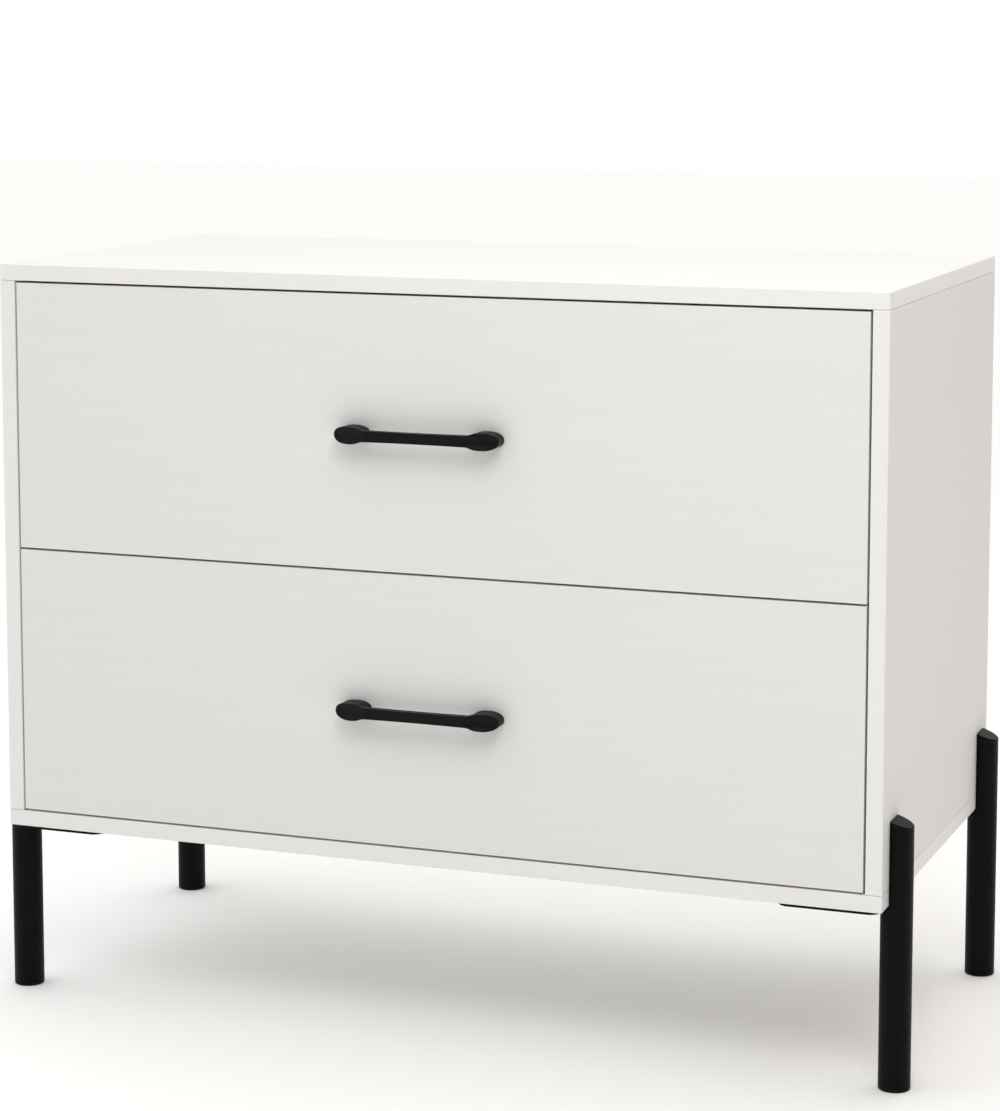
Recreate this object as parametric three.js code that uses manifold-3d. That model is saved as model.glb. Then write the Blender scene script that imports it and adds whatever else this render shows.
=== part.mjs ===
// A wide nightstand with two full-width drawers, standing on four notched tube legs.
// Millimetres, +Z up. The drawers open towards -Y, and left is -X.
// The origin is on the floor, under the centre of the bounding box.

import * as THREE from "three";
import { mergeVertices } from "three/addons/utils/BufferGeometryUtils.js";
import Module from "manifold-3d";

const wasm = await Module();
wasm.setup();

// ---------------------------------------------------------------- driving dimensions

// Cabinet
const cabinetWidth = 850; // over the two side panels
const cabinetDepth = 426; // from the drawer fronts to the rear edges
const cabinetHeight = 536; // from the underside of the bottom panel to the top
const board = 15; // melamine-faced chipboard
const seam = 0.2; // between two pieces that touch

// Back, in grooves
const backThickness = 3;
const backInset = 8; // from the cabinet's rear edges to the groove
const grooveDepth = 6;
const grooveClearance = 0.2; // on each face of a sheet in its groove
const edgeClearance = 1; // from a sheet's edge to the floor of its groove
const stripWall = 1; // the joining strip has an H section
const stripFlange = 7;

// Drawers
const frontGap = 2; // around each drawer front
const drawerBoard = 12;
const sideLift = 22; // from a front's lower edge up to its drawer's sides
const sideDrop = 48; // from a front's upper edge down to its drawer's sides
const rearClearance = 28; // behind a closed drawer
const bottomThickness = 3;
const bottomLift = 10; // from the sides' lower edges up to the drawer bottom
const braceWidth = 40;

// Ball-bearing slides of three rails
const slideHeight = 45.5;
const slideThickness = 12.7;
const slideWall = 1.2;
const ballRace = 3.2; // between one rail's flange and the next
const middleSetback = 1.2; // between the cabinet rail's web and the middle rail's
const railClearance = 1.1; // from a flange's edge to the web that it faces
const slideLengthStep = 50; // slides are sold in these steps
const slideInset = 3; // from a drawer front back to its rails

// Handles
const handleHoleSpacing = 128;
const handleReach = 22; // in front of the drawer
const handleEndLength = 30; // each end is an oval
const handleEndHeight = 15.8;
const handleEndFullness = 2.3; // 2 is an ellipse, and more is squarer
const handleEndSweep = 6.5; // from the bar's face back to the face at the tips
const handleBarDepth = 8;
const handleBarHeight = 10.7; // where it meets the ends
const handleWaistHeight = 9.6; // in the middle
const handlePostInset = 0.4; // from the outline of the oval to its post
const handlePostOverlap = 1; // of a post into the bar
const handleDishDepth = 1.2;
const handleDishRim = 2.6; // left around the dish
const screwDiameter = 4;
const screwHeadDiameter = 8.4;
const screwHeadHeight = 2.6;
const screwReach = 10; // into the handle's post
const screwHoleClearance = 0.4; // around a screw

// Legs
const floorGap = 167; // from the floor to the bottom panel
const legDiameter = 28.6;
const legWall = 1.5;
const legOffset = 4; // from the side panel's face out to the leg's axis
const frontLegSetback = 39;
const rearLegSetback = 32;
const legRise = 75; // above the underside of the bottom panel, at the side panel
const legTopSlope = THREE.MathUtils.degToRad(20);
const footHeight = 4;
const footRound = 1.5;
const plugLength = 14;
const plugClearance = 0.3;
const plateThickness = 2.5;
const plateInset = 3; // from the side panel's face in to the plate
const plateLength = 92;
const plateFront = 37; // from the leg's axis forward to the plate's edge
const plateRear = 25;
const plateCorner = 11;
const plateHoleDiameter = 5;
const plateHoleInset = 11; // from the plate's edges

// Facets of the round pieces
const legFacets = 36;
const footFacets = 24;
const screwFacets = 16;
const ovalFacets = 20; // in half a turn
const cornerFacets = 5; // in an eighth of a turn

// ---------------------------------------------------------------- worked out from them

const faceX = cabinetWidth / 2; // outer face of a side panel
const innerX = faceX - board;
const frontY = (handleReach - cabinetDepth) / 2; // handles count in the bounding box
const rearY = frontY + cabinetDepth;
const bottomZ = floorGap;
const topZ = bottomZ + cabinetHeight;
const insideLowZ = bottomZ + board;
const insideHighZ = topZ - board;

const backRearY = rearY - backInset; // rear wall of the groove
const backFrontY = backRearY - backThickness - 2 * grooveClearance;
const backJointZ = (insideLowZ + insideHighZ) / 2;

const drawerCount = 2;
const frontWidth = cabinetWidth - 2 * board - 2 * frontGap;
const frontHeight =
  (insideHighZ - insideLowZ - (drawerCount + 1) * frontGap) / drawerCount;
const boxFrontY = frontY + board + seam;
const boxRearY = backFrontY - rearClearance;
const sideLowZ = sideLift;
const sideHighZ = frontHeight - sideDrop;
const boxHalfWidth = innerX - slideThickness - 2 * seam;
const bottomGroove = drawerBoard / 2;
const bottomLowZ = sideLowZ + bottomLift;
const bottomHighZ = bottomLowZ + bottomThickness;

const slideFrontY = frontY + board + slideInset;
const slideLength =
  slideLengthStep * Math.floor((boxRearY - slideFrontY) / slideLengthStep);
const slideZ = (sideLowZ + sideHighZ) / 2;
const flangeRun = slideThickness - 2 * slideWall - middleSetback - railClearance;

const legRadius = legDiameter / 2;
const legX = faceX + legOffset;
const plateLowZ = bottomZ - seam - plateThickness;
const shelfZ = plateLowZ - seam; // top of the leg under its plate

// ---------------------------------------------------------------- finishes

const finishes = {
  melamine: { color: 0xe9e9e6, roughness: 0.55, metalness: 0 },
  drawerBoard: { color: 0xe4e3df, roughness: 0.6, metalness: 0 },
  hardboard: { color: 0xdcd8d0, roughness: 0.75, metalness: 0 },
  blackPowderCoat: { color: 0x171717, roughness: 0.6, metalness: 0.1 },
  blackPlastic: { color: 0x141414, roughness: 0.5, metalness: 0 },
  whitePlastic: { color: 0xe6e6e4, roughness: 0.45, metalness: 0 },
  zincSteel: { color: 0xb9bcbe, roughness: 0.35, metalness: 0.9 },
};

function piece(name, finish, geometry) {
  const mesh = new THREE.Mesh(
    geometry,
    new THREE.MeshStandardMaterial(finishes[finish]),
  );
  mesh.name = name;
  return mesh;
}

// ---------------------------------------------------------------- solids

function solidOf(geometry) {
  const bare = geometry.clone();
  bare.deleteAttribute("normal");
  bare.deleteAttribute("uv");
  const merged = mergeVertices(bare, 1e-4);
  return new wasm.Manifold(
    new wasm.Mesh({
      numProp: 3,
      vertProperties: new Float32Array(merged.attributes.position.array),
      triVerts: new Uint32Array(merged.index.array),
    }),
  );
}

function geometryOf(solid) {
  const { vertProperties, triVerts } = solid.getMesh();
  const geometry = new THREE.BufferGeometry()
    .setAttribute("position", new THREE.BufferAttribute(vertProperties, 3))
    .setIndex(new THREE.BufferAttribute(triVerts, 1));
  geometry.computeVertexNormals();
  return geometry;
}

function join(...geometries) {
  return geometryOf(geometries.map(solidOf).reduce((all, next) => all.add(next)));
}

function cut(geometry, ...tools) {
  return geometryOf(
    tools.map(solidOf).reduce((left, tool) => left.subtract(tool), solidOf(geometry)),
  );
}

// A box that spans [from, to] along each axis.
function span([x0, x1], [y0, y1], [z0, z1]) {
  return new THREE.BoxGeometry(x1 - x0, y1 - y0, z1 - z0).translate(
    (x0 + x1) / 2,
    (y0 + y1) / 2,
    (z0 + z1) / 2,
  );
}

// An upright cylinder about the Z axis.
function post(radius, lowZ, highZ, facets) {
  return new THREE.CylinderGeometry(radius, radius, highZ - lowZ, facets)
    .rotateX(Math.PI / 2)
    .translate(0, 0, (lowZ + highZ) / 2);
}

// A hole's cylinder, along Y.
function hole(radius, x, z, fromY, toY) {
  return new THREE.CylinderGeometry(radius, radius, toY - fromY, screwFacets).translate(
    x,
    (fromY + toY) / 2,
    z,
  );
}

// A section drawn in X and Z, carried forward along -Y from fromY by a depth.
function carried(shape, depth, fromY) {
  return new THREE.ExtrudeGeometry(shape, {
    depth,
    bevelEnabled: false,
    curveSegments: ovalFacets,
  })
    .rotateX(Math.PI / 2)
    .translate(0, fromY, 0);
}

function polygon(points) {
  return new THREE.Shape(points.map(([x, y]) => new THREE.Vector2(x, y)));
}

// ---------------------------------------------------------------- cabinet

// The groove that holds the back, in a panel whose groove opens at z or x.
function backGroove(xSpan, zSpan) {
  return span(xSpan, [backFrontY, backRearY], zSpan);
}

const past = 1; // how far a cutting tool runs past what it cuts

function topPanel() {
  return cut(
    span([-faceX, faceX], [frontY, rearY], [insideHighZ, topZ]),
    backGroove(
      [-innerX - grooveDepth, innerX + grooveDepth],
      [insideHighZ - past, insideHighZ + grooveDepth],
    ),
  );
}

function bottomPanel() {
  return cut(
    span([-faceX, faceX], [frontY, rearY], [bottomZ, insideLowZ]),
    backGroove(
      [-innerX - grooveDepth, innerX + grooveDepth],
      [insideLowZ - grooveDepth, insideLowZ + past],
    ),
  );
}

// A span along X given for the right side, turned over for the left.
function sided(side, from, to) {
  return side > 0 ? [from, to] : [-to, -from];
}

function sidePanel(side) {
  return cut(
    span(
      sided(side, innerX, faceX),
      [frontY, rearY],
      [insideLowZ + seam, insideHighZ - seam],
    ),
    backGroove(sided(side, innerX - past, innerX + grooveDepth), [
      insideLowZ - past,
      insideHighZ + past,
    ]),
  );
}

// One sheet of the back, from its groove to the joining strip's web.
function backPanel(upper) {
  const halfWidth = innerX + grooveDepth - edgeClearance;
  const reach = grooveDepth - edgeClearance;
  const webEdge = stripWall / 2 + edgeClearance;
  const zSpan = upper
    ? [backJointZ + webEdge, insideHighZ + reach]
    : [insideLowZ - reach, backJointZ - webEdge];
  const frontFace = backFrontY + grooveClearance;
  return span([-halfWidth, halfWidth], [frontFace, frontFace + backThickness], zSpan);
}

// An H section whose two channels hold the edges of the sheets.
function joiningStrip() {
  const [low, high] = [backFrontY - stripWall, backRearY + stripWall];
  const halfHeight = stripFlange + stripWall / 2;
  const channel = (lowZ, highZ) =>
    span([-faceX, faceX], [backFrontY, backRearY], [lowZ, highZ]);
  return cut(
    span(
      [edgeClearance - innerX, innerX - edgeClearance],
      [low, high],
      [backJointZ - halfHeight, backJointZ + halfHeight],
    ),
    channel(backJointZ + stripWall / 2, backJointZ + halfHeight + past),
    channel(backJointZ - halfHeight - past, backJointZ - stripWall / 2),
  );
}

// ---------------------------------------------------------------- legs, about their own axes

// A round bar with its top sloped down and outward, from a point on the side panel's face.
function slopedBar(side, radius, lowZ, highZ) {
  const wedge = new THREE.BoxGeometry(8 * radius, 4 * radius, 4 * radius)
    .translate(0, 0, 2 * radius)
    .rotateY(side * legTopSlope)
    .translate(-side * legOffset, 0, highZ);
  return cut(post(radius, lowZ, highZ + radius, legFacets), wedge);
}

// A tube that is cut back to a D above the plate, where it climbs the side panel.
function legTube(side) {
  const lowZ = footHeight + seam;
  const highZ = bottomZ + legRise;
  const bore = slopedBar(
    side,
    legRadius - legWall,
    lowZ - past,
    highZ - legWall / Math.cos(legTopSlope),
  );
  const notch = span(
    sided(side, -2 * legRadius, seam - legOffset),
    [-2 * legRadius, 2 * legRadius],
    [shelfZ, highZ + 2 * legRadius],
  );
  return cut(slopedBar(side, legRadius, lowZ, highZ), bore, notch);
}

function footPlug() {
  const plugRadius = legRadius - legWall - plugClearance;
  const edge = new THREE.Path()
    .absarc(legRadius - footRound, footRound, footRound, -Math.PI / 2, 0)
    .getPoints(2);
  const profile = [
    new THREE.Vector2(0, 0),
    ...edge,
    new THREE.Vector2(legRadius, footHeight),
    new THREE.Vector2(plugRadius, footHeight),
    new THREE.Vector2(plugRadius, footHeight + plugLength),
    new THREE.Vector2(0, footHeight + plugLength),
  ];
  return new THREE.LatheGeometry(profile, footFacets).rotateX(Math.PI / 2);
}

// A plate with rounded corners and four screw holes, welded to the leg's shelf.
function legPlate(side) {
  const outerX = -legOffset - plateInset;
  const innerEdgeX = outerX - plateLength;
  const r = plateCorner;
  const outline = new THREE.Shape()
    .absarc(outerX - r, plateRear - r, r, 0, Math.PI / 2)
    .absarc(innerEdgeX + r, plateRear - r, r, Math.PI / 2, Math.PI)
    .absarc(innerEdgeX + r, r - plateFront, r, Math.PI, 1.5 * Math.PI)
    .absarc(outerX - r, r - plateFront, r, 1.5 * Math.PI, 2 * Math.PI);
  for (const x of [outerX - plateHoleInset - legRadius, innerEdgeX + plateHoleInset])
    for (const y of [plateRear - plateHoleInset, plateHoleInset - plateFront])
      outline.holes.push(new THREE.Path().absarc(x, y, plateHoleDiameter / 2, 0, 2 * Math.PI));
  const plate = new THREE.ExtrudeGeometry(outline, {
    depth: plateThickness,
    bevelEnabled: false,
    curveSegments: cornerFacets,
  });
  return side > 0 ? plate : plate.rotateY(Math.PI).translate(0, 0, plateThickness);
}

// ---------------------------------------------------------------- slides

// A C section: its web stands at fromX, and its two flanges run towards toX.
function channelRail(fromX, toX, halfHeight) {
  const towards = Math.sign(toX - fromX);
  const webX = fromX + towards * slideWall;
  const insideZ = halfHeight - slideWall;
  const section = polygon([
    [fromX, -halfHeight],
    [toX, -halfHeight],
    [toX, -insideZ],
    [webX, -insideZ],
    [webX, insideZ],
    [toX, insideZ],
    [toX, halfHeight],
    [fromX, halfHeight],
  ]);
  return carried(section, slideLength, slideFrontY + slideLength);
}

function slideRails(side) {
  const cabinetX = innerX - seam;
  const drawerX = cabinetX - slideThickness;
  const middleX = cabinetX - slideWall - middleSetback;
  const halfHeights = [0, 1, 2].map((n) => slideHeight / 2 - n * (slideWall + ballRace));
  return {
    cabinet: channelRail(side * cabinetX, side * (cabinetX - flangeRun), halfHeights[0]),
    middle: channelRail(side * middleX, side * (middleX - flangeRun), halfHeights[1]),
    drawer: channelRail(side * drawerX, side * (drawerX + flangeRun), halfHeights[2]),
  };
}

// ---------------------------------------------------------------- drawers, from the lower edge of the front

const handleZ = frontHeight / 2;
const handleXs = [-handleHoleSpacing / 2, handleHoleSpacing / 2];

// The sheet's groove in a drawer board.
function bottomGrooveCut(xSpan, ySpan) {
  return span(xSpan, ySpan, [bottomLowZ - grooveClearance, bottomHighZ + grooveClearance]);
}

function drawerFront() {
  const halfWidth = frontWidth / 2;
  const grooveHalf = boxHalfWidth - drawerBoard + bottomGroove;
  const rearFace = frontY + board;
  return cut(
    span([-halfWidth, halfWidth], [frontY, rearFace], [0, frontHeight]),
    bottomGrooveCut([-grooveHalf, grooveHalf], [rearFace - bottomGroove, rearFace + past]),
    ...handleXs.map((x) =>
      hole(
        screwDiameter / 2 + screwHoleClearance,
        x,
        handleZ,
        frontY - past,
        rearFace + past,
      ),
    ),
  );
}

function drawerSide(side) {
  const insideX = boxHalfWidth - drawerBoard;
  return cut(
    span(sided(side, insideX, boxHalfWidth), [boxFrontY, boxRearY], [sideLowZ, sideHighZ]),
    bottomGrooveCut(sided(side, insideX - past, insideX + bottomGroove), [
      boxFrontY - past,
      boxRearY + past,
    ]),
  );
}

// The back stands on the bottom, between the sides.
function drawerBack() {
  const halfWidth = boxHalfWidth - drawerBoard - seam;
  return span(
    [-halfWidth, halfWidth],
    [boxRearY - drawerBoard, boxRearY],
    [bottomHighZ + seam, sideHighZ],
  );
}

function drawerBottom() {
  const halfWidth = boxHalfWidth - drawerBoard + bottomGroove - edgeClearance;
  return span(
    [-halfWidth, halfWidth],
    [frontY + board - bottomGroove + edgeClearance, boxRearY],
    [bottomLowZ, bottomHighZ],
  );
}

// A batten under the middle of the bottom, from front to back.
function bottomBrace() {
  return span(
    [-braceWidth / 2, braceWidth / 2],
    [boxFrontY, boxRearY],
    [sideLowZ, bottomLowZ - seam],
  );
}

const handleTipX = (handleHoleSpacing + handleEndLength) / 2;

// Half the height of the handle at a distance from its middle: a waisted bar that flares
// into the oval ends.
function handleHalfHeight(x) {
  const centre = handleHoleSpacing / 2;
  const u = Math.min(1, Math.abs(x - centre) / (handleEndLength / 2));
  const oval = (handleEndHeight / 2) * (1 - u ** handleEndFullness) ** (1 / handleEndFullness);
  const waist = handleWaistHeight / 2;
  const bar = waist + (handleBarHeight / 2 - waist) * (x / centre) ** 2;
  const fade = 1 - THREE.MathUtils.smoothstep(x, centre - handleEndLength / 2, centre);
  const sharpness = 6;
  return ((bar * fade) ** sharpness + oval ** sharpness) ** (1 / sharpness);
}

function handleOutline() {
  const steps = 20;
  const quarter = Array.from({ length: steps }, (_, i) => {
    const x = handleTipX * Math.sin((i / steps) * (Math.PI / 2)); // closer together near the tip
    return [x, handleHalfHeight(x)];
  });
  const turned = (signX, signZ) => quarter.map(([x, z]) => [signX * x, signZ * z]);
  return polygon([
    ...turned(1, -1),
    [handleTipX, 0],
    ...turned(1, 1).reverse(),
    ...turned(-1, 1).slice(1),
    [-handleTipX, 0],
    ...turned(-1, -1).slice(1).reverse(),
  ]);
}

// How far the face has swept back at a distance from the handle's middle.
function handleSweep(x) {
  const share = Math.max(0, x - handleTipX + handleEndLength) / handleEndLength;
  return handleEndSweep * share ** 2;
}

// What is cut away in front of the swept-back face of one end.
function sweepCut(side) {
  const steps = 8;
  const face = Array.from({ length: steps + 1 }, (_, i) => {
    const x = handleTipX + past - (handleEndLength + past) * (i / steps);
    return [side * x, handleSweep(x) - handleReach];
  });
  const clearY = -handleReach - past;
  const outline = [...face, [face.at(-1)[0], clearY], [face[0][0], clearY]];
  return new THREE.ExtrudeGeometry(polygon(outline), {
    depth: 2 * handleEndHeight,
    bevelEnabled: false,
  }).translate(0, 0, -handleEndHeight);
}

// A shallow spoon-like hollow in the swept-back face of one end.
function dish(side) {
  const x = handleHoleSpacing / 2;
  const slope = (handleSweep(x + past) - handleSweep(x - past)) / (2 * past);
  const reachY = 3 * handleDishDepth; // of the ellipsoid that cuts it
  const spread = Math.sqrt(1 - ((reachY - handleDishDepth) / reachY) ** 2);
  const halfLength = (handleEndLength / 2 - handleDishRim) / spread;
  const halfHeight = (handleEndHeight / 2 - handleDishRim) / spread;
  return new THREE.SphereGeometry(1, 20, 10)
    .scale(halfLength, reachY, halfHeight)
    .translate(0, handleDishDepth - reachY, 0)
    .rotateZ(side * Math.atan(slope))
    .translate(side * x, handleSweep(x) - handleReach, 0);
}

// The oval section of a post.
function postSection(x) {
  const halfLength = handleEndLength / 2 - handlePostInset;
  const halfHeight = handleEndHeight / 2 - handlePostInset;
  const rounded = (value) => Math.sign(value) * Math.abs(value) ** (2 / handleEndFullness);
  return polygon(
    Array.from({ length: 2 * ovalFacets }, (_, i) => {
      const angle = (i / ovalFacets) * Math.PI;
      return [x + halfLength * rounded(Math.cos(angle)), halfHeight * rounded(Math.sin(angle))];
    }),
  );
}

// From the face of the drawer front: a bar on two oval posts.
function handleBody() {
  const barRearY = handleBarDepth - handleReach;
  const bar = carried(handleOutline(), handleBarDepth, barRearY);
  const postDepth = handlePostOverlap - barRearY - seam;
  const posts = handleXs.map((x) => carried(postSection(x), postDepth, -seam));
  const bores = handleXs.map((x) =>
    hole(screwDiameter / 2 + screwHoleClearance, x, 0, -screwReach - past, past),
  );
  const ends = [-1, 1].flatMap((side) => [sweepCut(side), dish(side)]);
  return cut(join(bar, ...posts), ...bores, ...ends);
}

// A pan-head screw through the drawer front into the handle, about the Y axis.
function handleScrew() {
  const headY = board + seam;
  const headRadius = screwHeadDiameter / 2;
  const crown = screwHeadHeight / 3;
  const profile = [
    [0, -screwReach],
    [screwDiameter / 2, -screwReach],
    [screwDiameter / 2, headY],
    [headRadius, headY],
    [headRadius, headY + screwHeadHeight - crown],
    [headRadius - crown, headY + screwHeadHeight],
    [0, headY + screwHeadHeight],
  ];
  return new THREE.LatheGeometry(
    profile.map(([x, y]) => new THREE.Vector2(x, y)),
    screwFacets,
  );
}

// ---------------------------------------------------------------- assembly

const sides = { left: -1, right: 1 };

function buildCabinet() {
  const cabinet = new THREE.Group();
  cabinet.add(
    piece("top_panel", "melamine", topPanel()),
    piece("bottom_panel", "melamine", bottomPanel()),
    piece("left_side_panel", "melamine", sidePanel(sides.left)),
    piece("right_side_panel", "melamine", sidePanel(sides.right)),
    piece("upper_back_panel", "hardboard", backPanel(true)),
    piece("lower_back_panel", "hardboard", backPanel(false)),
    piece("back_joining_strip", "whitePlastic", joiningStrip()),
  );
  return cabinet;
}

function buildLeg(corner, sideName, axisY) {
  const side = sides[sideName];
  const leg = new THREE.Group();
  leg.position.set(side * legX, axisY, 0);
  const plate = piece(`${corner}_${sideName}_leg_plate`, "blackPowderCoat", legPlate(side));
  plate.position.z = plateLowZ;
  leg.add(
    piece(`${corner}_${sideName}_leg`, "blackPowderCoat", legTube(side)),
    plate,
    piece(`${corner}_${sideName}_foot`, "blackPlastic", footPlug()),
  );
  return leg;
}

function buildSlide(level, sideName) {
  const rails = slideRails(sides[sideName]);
  const slide = new THREE.Group();
  slide.position.z = slideZ;
  for (const [member, geometry] of Object.entries(rails))
    slide.add(piece(`${level}_${sideName}_${member}_rail`, "zincSteel", geometry));
  return slide;
}

function buildHandle(level) {
  const handle = new THREE.Group();
  handle.position.set(0, frontY, handleZ);
  handle.add(piece(`${level}_handle`, "blackPowderCoat", handleBody()));
  Object.keys(sides).forEach((sideName, i) => {
    const screw = piece(`${level}_${sideName}_handle_screw`, "zincSteel", handleScrew());
    screw.position.x = handleXs[i];
    handle.add(screw);
  });
  return handle;
}

function buildDrawer(level) {
  const drawer = new THREE.Group();
  drawer.add(
    piece(`${level}_drawer_front`, "melamine", drawerFront()),
    piece(`${level}_drawer_left_side`, "drawerBoard", drawerSide(sides.left)),
    piece(`${level}_drawer_right_side`, "drawerBoard", drawerSide(sides.right)),
    piece(`${level}_drawer_back`, "drawerBoard", drawerBack()),
    piece(`${level}_drawer_bottom`, "hardboard", drawerBottom()),
    piece(`${level}_drawer_brace`, "drawerBoard", bottomBrace()),
    buildHandle(level),
    buildSlide(level, "left"),
    buildSlide(level, "right"),
  );
  return drawer;
}

const nightstand = new THREE.Group();
nightstand.add(buildCabinet());

for (const sideName of Object.keys(sides)) {
  nightstand.add(
    buildLeg("front", sideName, frontY + frontLegSetback),
    buildLeg("rear", sideName, rearY - rearLegSetback),
  );
}

["lower", "upper"].forEach((level, n) => {
  const drawer = buildDrawer(level);
  drawer.position.z = insideLowZ + frontGap + n * (frontHeight + frontGap);
  nightstand.add(drawer);
});

export default nightstand;
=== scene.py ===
"""The looks of a two-drawer nightstand, laid out as an add-on and run as a script.

Everything is in metres, in the packed frame: +Z up, the drawers open towards -Y, left is -X.
Places and most sizes are read from the frame, so that each finished piece fits its CAD node.
"""

import math

import bmesh
import bpy
from bpy.props import FloatProperty, FloatVectorProperty, IntProperty, PointerProperty
from mathutils import Matrix, Vector


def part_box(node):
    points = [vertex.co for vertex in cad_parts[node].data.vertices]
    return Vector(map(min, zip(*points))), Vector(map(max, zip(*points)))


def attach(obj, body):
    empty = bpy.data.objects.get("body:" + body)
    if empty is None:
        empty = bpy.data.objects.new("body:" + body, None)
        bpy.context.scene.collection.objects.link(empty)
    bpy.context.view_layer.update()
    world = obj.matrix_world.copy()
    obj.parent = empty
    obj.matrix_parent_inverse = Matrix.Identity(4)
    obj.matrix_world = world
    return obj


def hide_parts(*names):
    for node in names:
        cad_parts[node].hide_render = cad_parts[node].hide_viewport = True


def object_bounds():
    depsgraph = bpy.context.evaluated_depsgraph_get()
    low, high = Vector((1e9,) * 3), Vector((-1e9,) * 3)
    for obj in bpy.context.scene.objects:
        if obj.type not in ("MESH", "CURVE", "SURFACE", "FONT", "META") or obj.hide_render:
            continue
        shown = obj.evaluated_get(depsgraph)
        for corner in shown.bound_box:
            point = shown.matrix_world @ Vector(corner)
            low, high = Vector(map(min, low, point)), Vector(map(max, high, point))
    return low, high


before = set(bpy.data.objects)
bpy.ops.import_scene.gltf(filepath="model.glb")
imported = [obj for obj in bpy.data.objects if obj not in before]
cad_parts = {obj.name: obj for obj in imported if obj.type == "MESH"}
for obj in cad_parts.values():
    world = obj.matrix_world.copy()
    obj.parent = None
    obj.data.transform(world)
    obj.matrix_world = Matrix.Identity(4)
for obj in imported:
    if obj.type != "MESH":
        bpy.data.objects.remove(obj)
CAD_BOX = [list(corner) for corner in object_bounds()]

bl_info = {
    "name": "Two-drawer nightstand",
    "version": (1, 0, 0),
    "blender": (4, 5, 0),
    "location": "3D View > Sidebar > Nightstand",
    "description": "Builds the finished pieces of a two-drawer nightstand round its CAD frame",
    "category": "Object",
}

MM = 0.001
LEVELS = ("lower", "upper")
SIDES = {"left": -1, "right": 1}
CORNERS = [(corner, side) for corner in ("front", "rear") for side in SIDES]


# ---------------------------------------------------------------- settings


def number(name, description, default, **kind):
    """A property for a plain number."""
    return FloatProperty(name=name, description=description, default=default, **kind)


def length(name, description, millimetres):
    """A property for one size."""
    return number(name, description, millimetres * MM, min=0.0, precision=5, unit="LENGTH")


def tilt(name, description, degrees):
    """A property for one angle."""
    return number(name, description, math.radians(degrees), unit="ROTATION")


def whole(name, description, default, least):
    """A property for a number of things."""
    return IntProperty(name=name, description=description, default=default, min=least)


def colour(name, description, default):
    """A property for one finish's colour, in linear light."""
    return FloatVectorProperty(
        name=name, description=description, default=default,
        min=0.0, max=1.0, size=3, subtype="COLOR",
    )


class PanelSettings(bpy.types.PropertyGroup):
    """Boards, edge bands and the sheets of the back."""

    edge_radius: length("Edge radius", "Rounding of the banded edges", 0.8)
    foil_radius: length("Foil radius", "Rounding of the drawer boards' edges", 0.5)
    sheet_radius: length("Sheet radius", "Rounding of the thin sheets' edges", 0.25)
    melamine: colour("Melamine", "White of the faced boards", (0.78, 0.775, 0.765))
    band: colour("Edge band", "White of the boards' edges", (0.83, 0.825, 0.815))
    drawer_foil: colour("Drawer foil", "White of the drawer boards", (0.76, 0.755, 0.74))
    hardboard: colour("Hardboard", "White of the lacquered sheets", (0.72, 0.71, 0.68))
    chipboard: colour("Chipboard", "Core shown at the unbanded edges", (0.46, 0.33, 0.20))


class HandleSettings(bpy.types.PropertyGroup):
    """The cast bar handles."""

    hole_spacing: length("Hole spacing", "Between the two screws", 128)
    end_length: length("End length", "Of each oval end", 30)
    end_height: length("End height", "Of each oval end", 15.8)
    end_sweep: length("End sweep", "From the bar's face back to the face at the tips", 6.5)
    fullness: number("Fullness", "Of the ovals: 2 is an ellipse, more is squarer", 2.3)
    bar_height: length("Bar height", "Where the bar meets the ends", 10.7)
    waist_height: length("Waist height", "In the middle of the bar", 9.6)
    bar_depth: length("Bar depth", "From the bar's face to its rear", 8)
    post_inset: length("Post inset", "From the oval's outline in to its post", 0.25)
    dish_depth: length("Dish depth", "Of the spoon-like hollow in each end", 2.6)
    dish_rim: length("Dish rim", "Left flat around the hollow", 1.2)
    rim_radius: length("Rim radius", "Rounding of the front rim", 0.8)
    outline_steps: whole("Outline steps", "Points in a quarter of the outline", 44, 8)
    black: colour("Black", "Powder coat on handles and legs", (0.0032, 0.0032, 0.0034))


class LegSettings(bpy.types.PropertyGroup):
    """The tube legs, their plates and their feet."""

    wall: length("Wall", "Of the tube", 1.5)
    offset: length("Offset", "From the side panel's face out to the tube's axis", 4)
    rise: length("Rise", "Above the underside of the cabinet, at the side panel", 75)
    top_slope: tilt("Top slope", "How steeply the closed top falls away from the cabinet", 20)
    edge_radius: length("Edge radius", "Rounding of the tube's edges", 0.7)
    plate_radius: length("Plate radius", "Rounding of the plates' edges", 0.4)
    weld_radius: length("Weld radius", "Of the bead under each plate", 1.7)
    foot_round: length("Foot rounding", "Of the foot's lower edge", 1.5)
    facets: whole("Facets", "Round a tube", 96, 12)
    foot: colour("Foot plastic", "Black of the moulded feet", (0.004, 0.004, 0.004))


class SlideSettings(bpy.types.PropertyGroup):
    """The ball-bearing slides."""

    wall: length("Wall", "Of the rolled rails", 1.2)
    bend_radius: length("Bend radius", "Outside the rails' bends", 2.0)
    ball_diameter: length("Ball diameter", "Of the bearing balls", 3.0)
    ball_pitch: length("Ball pitch", "From one ball to the next", 7.5)
    cage_width: length("Cage width", "Of the strips that hold the balls", 4.6)
    cage_thickness: length("Cage thickness", "Of the strips that hold the balls", 0.5)
    slot_length: length("Slot length", "Of the slots in the rails' webs", 11)
    slot_width: length("Slot width", "Of the slots in the rails' webs", 4.6)
    balls: whole("Balls", "In each cage", 17, 2)
    zinc: colour("Zinc", "Plating on rails and screws", (0.60, 0.61, 0.62))


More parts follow.
